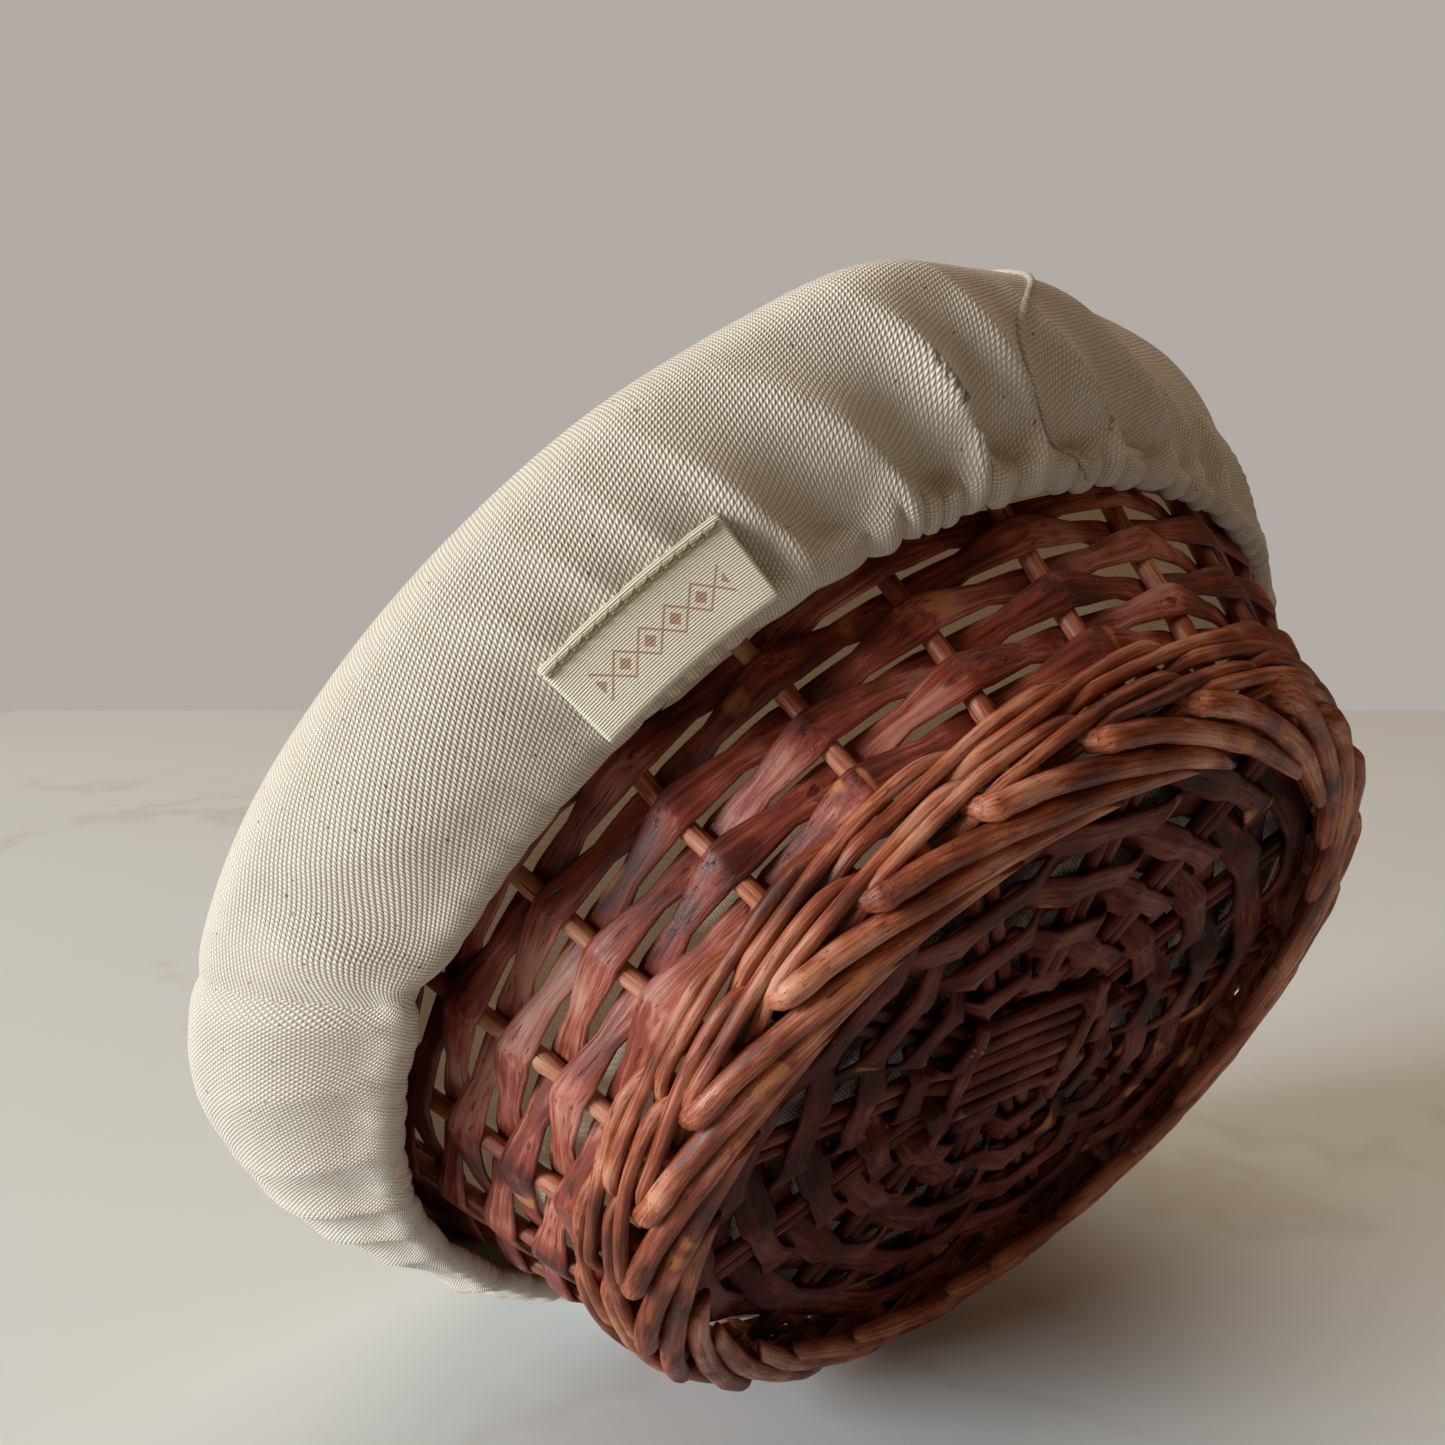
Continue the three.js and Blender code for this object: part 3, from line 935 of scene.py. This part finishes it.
def fold_depth(degrees, t):
    """How far the long folds lift the cloth, and how far the hem's puckers stand out of its face."""
    turn = degrees / 360
    gather = cloth().gather * round_table(GATHER_AT, degrees)
    to_hem = smooth((t - WIDEST_AT + 0.02) / (HEM_AT - WIDEST_AT))
    past = 1 - smooth((t - HEM_AT - 0.04) / 0.08)
    slant = turn + 0.02 * (1 - to_hem)
    wave_at = np.sin(math.pi * (44 * slant + 0.9 * waver(turn, 21, (4, 7, 11))))
    big = (1 - 2 * (wave_at**2) ** 0.42) * (1 + 0.35 * waver(turn, 27, (13, 19)))
    near_hem = smooth((t - HEM_AT + 0.055) / 0.03)
    lumps = np.abs(np.sin(math.pi * (102 * turn + 1.3 * waver(turn, 22, (9, 13, 17))))) ** 0.7 - 0.45
    lumps = lumps * (1 + 0.4 * waver(turn, 28, (23, 31)))
    pucker = gather * near_hem * past * (0.22 + 0.5 * lumps)
    pucker = pucker - 0.3 * gather * bump_at(t, HEM_AT - 0.065, 0.03)
    long_folds = waver(slant, 23, (11, 15, 19))
    lift = gather * big * to_hem * (1 - 0.72 * near_hem) * past
    lift = lift + gather * 0.7 * long_folds * smooth((t - 0.52) / 0.12) * (1 - 0.6 * to_hem) * past
    on_skirt = smooth((t - 0.48) / 0.1) * past
    lift = lift + 0.9 * MM * waver(turn, 24, (3, 5, 7)) * on_skirt
    inside = smooth((t - 0.06) / 0.08) * (1 - smooth((t - 0.24) / 0.06))
    lift = lift + 0.45 * MM * waver(turn + 0.02 * np.sin(9 * t), 25, (9, 14, 23)) * inside
    crease = bump_at(degrees, panel_edge(t), 2.2)
    hollow = bump_at(degrees, panel_edge(t) + 9, 7)
    return lift - (0.9 * crease + 1.5 * hollow * to_hem * (1 - to_hem) * 4) * MM * on_skirt, pucker


def liner_point(degrees, t):
    """A point of the finished cloth."""
    rest = liner_rest(degrees, t)
    slope = unit(liner_rest(degrees, t + 0.004) - liner_rest(degrees, t - 0.004))
    out = np.stack([-slope[:, 1], slope[:, 0]], axis=-1)
    level = 0.75 * smooth((t - HEM_AT + 0.14) / 0.08)[:, None]
    lift, pucker = fold_depth(degrees, t)
    away = unit(out * (1 - level) + np.array([1.0, 0.0]) * level)
    lifted = rest + away * lift[:, None] + out * pucker[:, None]
    rim = bump_at(t, 7.5 / PROFILE_SPANS, 0.09)
    lifted[:, 1] += 0.7 * MM * waver(degrees / 360, 26, (3, 7, 11)) * rim
    return on_circle(lifted[:, 0], degrees, lifted[:, 1])


def turn_panel(bm, first):
    """Turns the grain of the panel before the slanting seam, which is cut the other way."""
    grain = bm.loops.layers.uv["grain"]
    c, s = math.cos(PANEL_TURN), math.sin(PANEL_TURN)
    for face in bm.faces:
        u, v = (sum(loop[grain].uv[k] for loop in face.loops) / len(face.loops) for k in (0, 1))
        degrees, t = 360 * u / CLOTH_AROUND - 180, first + v / CLOTH_DOWN
        if t < 0.45 or degrees > panel_edge(t):
            continue
        for loop in face.loops:
            u, v = loop[grain].uv
            loop[grain].uv = c * u - s * v, s * u + c * v


def canvas_sheet(name, first, last, around, down, finish, nodes):
    """A stretch of the liner's cloth between two places on its section, as one closed ring."""

    def place(s, t):
        return liner_point(360 * s - 180, first + (last - first) * t)

    bm = sweep(around, down, place, (CLOTH_AROUND, CLOTH_DOWN * (last - first)))
    turn_panel(bm, first)
    bmesh.ops.remove_doubles(bm, verts=bm.verts, dist=1e-6)
    made = piece(name, bm, finish, "liner", nodes)
    return thicken(made, cloth().canvas)


def liner_floor():
    """The round piece sewn into the bottom of the bowl."""
    edge = 79.4 * MM

    def place(s, t):
        degrees = 360 * s
        sag = 0.5 * MM * waver(s, 31, (3, 5, 8)) * np.sin(math.pi * t)
        return on_circle(edge * t, degrees, 15.0 * MM + sag)

    bm = sweep(96, 26, place, (0.5, 0.08))
    grain = bm.loops.layers.uv["grain"]
    bmesh.ops.remove_doubles(bm, verts=bm.verts, dist=1e-6)
    for face in bm.faces:
        for loop in face.loops:
            loop[grain].uv = loop.vert.co.xy
    bmesh.ops.recalc_face_normals(bm, faces=bm.faces)
    made = piece("liner_floor", bm, "twill_canvas", "liner", ["liner_bowl"])
    return thicken(made, cloth().canvas)


def seam_welt():
    """The ridge where the canvas' two ends are sewn together, from the floor to the hem."""

    def place(s, t):
        part = 0.02 + (HEM_AT - 0.02) * s
        degrees = -46 - 5.5 * smooth((part - 0.58) / 0.15)
        degrees = degrees + 6.5 * smooth((part - 0.74) / (HEM_AT - 0.74))
        turn = math.tau * t
        lift = np.where(np.sin(turn) > 0, 0.95, 0.1) * np.abs(np.sin(turn)) ** 0.7 * MM
        base = liner_point(degrees, part)
        near = liner_point(degrees, part + 0.003) - liner_point(degrees, part - 0.003)
        around = unit(liner_point(degrees + 0.4, part) - liner_point(degrees - 0.4, part))
        out = unit(np.cross(near, around))
        return base + around * (0.95 * MM * np.cos(turn))[:, None] + out * (lift + 0.35 * MM)[:, None]

    bm = close_up(sweep(150, 10, place, (0.2, 0.004)))
    return piece("liner_side_seam", bm, "twill_canvas", "liner")


def rim_seam():
    """The welt inside the rim, where the bowl's cloth is sewn to the skirt's."""

    def place(s, t):
        degrees = 360 * s - 180
        part = np.full(len(s), RIM_SEAM + 0.003)
        middle = liner_point(degrees, part) + on_circle(-0.5 * MM, degrees, 0.0)
        turn = math.tau * t
        return middle + on_circle(0.9 * MM * np.cos(turn), degrees, 1.3 * MM * np.sin(turn))

    bm = close_up(sweep(260, 8, place, (0.73, 0.007)))
    return piece("liner_rim_seam", bm, "twill_canvas", "liner")


def stitch(start, end, out, radius):
    """One stitch: a short thread that dips into the cloth at both ends."""
    path = [start - out * radius, start * 0.75 + end * 0.25 + out * radius * 0.8,
            start * 0.25 + end * 0.75 + out * radius * 0.8, end - out * radius]

    def place(s, t):
        return rod_section(path, s, t, radius * (1 - 0.3 * np.abs(2 * s - 1) ** 3), tuple(out))

    size = float(np.linalg.norm(end - start)), radius * math.tau
    return close_up(sweep(5, 5, place, size))


def elastic():
    """The flat elastic inside the hem."""

    def place(s, t):
        degrees = 360 * s - 180
        hem = round_table(HEM_REACH, degrees) * MM
        r = hem + 1.6 * MM + 0.2 * MM * waver(s, 41, (31, 47))
        z = (45.6 + round_table(HEM_RISE, degrees) + 0.3 * waver(s, 42, (17, 29))) * MM
        return band_section(degrees, r, z, 3.2 * MM, 0.8 * MM, 0.75, t)

    bm = close_up(sweep(300, 8, place, (0.72, 0.012)))
    return piece("hem_elastic_band", bm, "canvas_thread", "liner", ["hem_elastic"])


class BASKET_OT_liner(bpy.types.Operator):
    """Sew the canvas liner with its gathered skirt"""

    bl_idname = "basket.sew_liner"
    bl_label = "Sew the Liner"

    def execute(self, context):
        bowl = canvas_sheet(
            "liner_bowl_cloth", 0.0, RIM_SEAM + 0.006, 300, 36, "bowl_canvas_painted_glow", ["liner_bowl"]
        )
        skirt = canvas_sheet(
            "liner_skirt_cloth", RIM_SEAM, 1.0, 840, 56, "twill_canvas", ["liner_bowl", "liner_skirt"]
        )
        floor = liner_floor()
        seam = seam_welt()
        welt = rim_seam()
        band = elastic()
        return {"FINISHED"}


# ---- Label ----
LABEL_ANGLE = -87.6
LABEL_TOP = np.array([133.3, 50.95]) * MM
LABEL_DOWN = np.array([-0.772, -0.636])
LABEL_OUT = np.array([0.636, -0.772])


def label_point(u, v, lift):
    """A point on the label: u along it from its middle, v down from its stitched edge."""
    c = cloth()
    degrees = LABEL_ANGLE + np.degrees(u / (LABEL_TOP[0] - 0.3 * v))
    share = v / c.label_width
    curl = 0.5 * MM * smooth(share) ** 2 + 0.7 * MM * smooth((u - 6 * MM) / (12 * MM)) * share
    flat = LABEL_TOP + v[:, None] * LABEL_DOWN + (1.3 * MM + lift + curl)[:, None] * LABEL_OUT
    return on_circle(flat[:, 0], degrees, flat[:, 1])


def ribbon():
    """The ribbon, folded along its loose edge."""
    c = cloth()

    def place(s, t):
        u = (s - 0.5) * c.label_length
        turn = np.clip((t - 0.48) / 0.04, 0, 1)
        v = np.where(t < 0.5, t / 0.48, (1 - t) / 0.48) * c.label_width
        v = np.minimum(v, c.label_width) + 0.45 * MM * np.sin(math.pi * turn)
        lift = 0.55 * MM * np.cos(math.pi * turn)
        return label_point(u, v, lift)

    bm = sweep(48, 50, place, (c.label_length, 2.08 * c.label_width))
    made = piece("ribbon_label_cloth", bm, "ribbed_ribbon", "label", ["ribbon_label"])
    return thicken(made, c.ribbon)


def label_stitches():
    """Two slanting rows of khaki thread along the stitched edge."""
    c = cloth()
    parts = []
    count = 13
    out = on_circle(LABEL_OUT[0], LABEL_ANGLE, LABEL_OUT[1])
    for number in range(count):
        u = (number / count * 0.95 - 0.49) * c.label_length
        for v, run, drop in ((1.9, 3.3, -1.0), (1.1, 2.3, 0.35)):
            ends = np.array([u, u + run * MM]), np.array([v, v + drop]) * MM
            points = label_point(*ends, np.full(2, 0.8 * MM))
            parts.append(stitch(*points, out, 0.3 * MM))
    return piece("label_stitches", join_sweeps(parts), "khaki_thread", "label")


class BASKET_OT_label(bpy.types.Operator):
    """Fold the ribbon label and stitch its upper edge"""

    bl_idname = "basket.stitch_label"
    bl_label = "Stitch the Label"

    def execute(self, context):
        tape = ribbon()
        stitches = label_stitches()
        return {"FINISHED"}


# ---- Stage ----
VIEW_FROM = Vector((1.42, -326.25, -121.78)) * MM
VIEW_RIGHT = Vector((0.7318, 0.4000, -0.5519))
VIEW_UP = Vector((0.6815, -0.4348, 0.5886))
VIEW_AHEAD = Vector((0.0046, 0.8068, 0.5908))
LENS = 42.5
TABLE_UP = Vector((0.67, -0.57, 0.477)).normalized()
TABLE_DROP = 79.8 * MM
TABLE_SIDE = 1.6
TABLE_NEAR = -0.2
TABLE_FAR = 1.225


def one_sided(name, tint):
    """A matt pale ground that can't be seen from behind."""
    material, tree, shader = new_material(name)
    place = node(tree, "TexCoord").outputs["Object"]
    cloud = noise(place, 5.0, 4.0)
    vein = sums("ABSOLUTE", sums("SUBTRACT", noise(place, 2.6, 5.0, 0.6), 0.47))
    vein = sums("MULTIPLY", between(vein, 0.0, 0.02, 1.0, 0.0), between(cloud, 0.42, 0.6))
    base = mixed(between(cloud, 0.45, 0.75, 0.0, 0.2), tint, [0.85 * c for c in tint])
    base = mixed(sums("MULTIPLY", vein, 0.35), base, (0.5, 0.4, 0.33))
    tune(shader, Base_Color=base, Roughness=0.5, Specular_IOR_Level=0.3)
    clear = node(tree, "BsdfTransparent")
    back = node(tree, "NewGeometry").outputs["Backfacing"]
    blend = node(tree, "MixShader", i0=back, i1=shader.outputs[0], i2=clear.outputs[0])
    tree.links.new(blend.outputs[0], tree.nodes["Material Output"].inputs["Surface"])
    return material


def lay_table(middle, ahead, material):
    """The flat rectangle that the basket stands against."""
    bm = bmesh.new()
    bmesh.ops.create_grid(bm, x_segments=1, y_segments=1, size=1)
    for vert in bm.verts:
        reach = TABLE_FAR if vert.co.y > 0 else TABLE_NEAR
        vert.co = middle + VIEW_RIGHT * (TABLE_SIDE * vert.co.x) + ahead * reach
    add_object("table", bm, material)


def soft_light(name, toward, distance, size, watts, tint):
    """A square area light that shines on the basket from a direction."""
    data = bpy.data.lights.new(name, "AREA")
    data.size = size
    data.energy = watts
    data.color = tint
    lamp = bpy.data.objects.new(name, data)
    aim = Vector((0, 0, 0.045))
    lamp.location = aim + toward.normalized() * distance
    lamp.rotation_euler = (-toward).to_track_quat("-Z", "Y").to_euler()
    bpy.context.scene.collection.objects.link(lamp)


def surround(settings):
    """A plain backdrop that lights the basket more softly than it looks."""
    world = bpy.data.worlds.new("surround")
    world.use_nodes = True
    tree = world.node_tree
    shade = tree.nodes["Background"]
    seen = node(tree, "LightPath").outputs["Is Camera Ray"]
    tint = mixed(seen, settings.bounce, settings.wall)
    tune(shade, Color=tint, Strength=between(seen, 0.0, 1.0, settings.fill, 1.0))
    return world


class BASKET_OT_stage(bpy.types.Operator):
    """Set the camera, the light and the pale ground"""

    bl_idname = "basket.set_stage"
    bl_label = "Set the Stage"

    def execute(self, context):
        settings = context.scene.basket_stage
        data = bpy.data.cameras.new("camera")
        data.lens = LENS
        data.clip_start = 0.01
        camera = bpy.data.objects.new("camera", data)
        turn = Matrix((VIEW_RIGHT, VIEW_UP, -VIEW_AHEAD)).transposed()
        camera.matrix_world = Matrix.Translation(VIEW_FROM) @ turn.to_4x4()
        context.scene.collection.objects.link(camera)
        context.scene.camera = camera
        pale = one_sided("pale_ground", settings.ground)
        ahead = TABLE_UP.cross(VIEW_RIGHT).normalized()
        ahead = ahead if ahead.dot(VIEW_AHEAD) > 0 else -ahead
        foot = VIEW_FROM - TABLE_UP * (VIEW_FROM.dot(TABLE_UP) + TABLE_DROP)
        lay_table(foot, ahead, pale)
        key = VIEW_RIGHT * -0.86 + VIEW_UP * 0.13 - VIEW_AHEAD * 0.48
        soft_light("key", key, 3.0, 1.5, settings.key, (0.95, 0.985, 1))
        above = TABLE_UP + VIEW_AHEAD * 0.25
        soft_light("overhead", above, 2.2, 2.4, settings.overhead, (1, 0.86, 0.7))
        context.scene.world = surround(settings)
        context.scene.view_settings.view_transform = "Standard"
        return {"FINISHED"}


# ---- The add-on ----
class BASKET_PT_panel(bpy.types.Panel):
    """The basket's sizes, finishes and steps"""

    bl_idname = "BASKET_PT_panel"
    bl_label = "Proofing Basket"
    bl_space_type = "VIEW_3D"
    bl_region_type = "UI"
    bl_category = "Basket"

    def draw(self, context):
        for name in GROUPS:
            group = getattr(context.scene, name)
            box = self.layout.box()
            for key in group.__annotations__:
                box.prop(group, key)
        for step in STEPS:
            self.layout.operator(step.bl_idname)


GROUPS = {
    "basket_willow": WillowSizes,
    "basket_cloth": ClothSizes,
    "basket_finishes": Finishes,
    "basket_stage": StageLights,
}
STEPS = (
    BASKET_OT_base, BASKET_OT_foot, BASKET_OT_side, BASKET_OT_wale, BASKET_OT_rim,
    BASKET_OT_liner, BASKET_OT_label, BASKET_OT_stage,
)


def register():
    for kind in (*GROUPS.values(), *STEPS, BASKET_PT_panel):
        bpy.utils.register_class(kind)
    for name, kind in GROUPS.items():
        setattr(bpy.types.Scene, name, bpy.props.PointerProperty(type=kind))


def unregister():
    for name in GROUPS:
        delattr(bpy.types.Scene, name)
    for kind in (BASKET_PT_panel, *reversed(STEPS), *reversed(GROUPS.values())):
        bpy.utils.unregister_class(kind)


def main():
    register()
    bpy.ops.basket.weave_base()
    bpy.ops.basket.turn_foot()
    bpy.ops.basket.weave_side()
    bpy.ops.basket.twist_wale()
    bpy.ops.basket.plait_rim()
    bpy.ops.basket.sew_liner()
    bpy.ops.basket.stitch_label()
    bpy.ops.basket.set_stage()


if __name__ == "__main__":
    main()
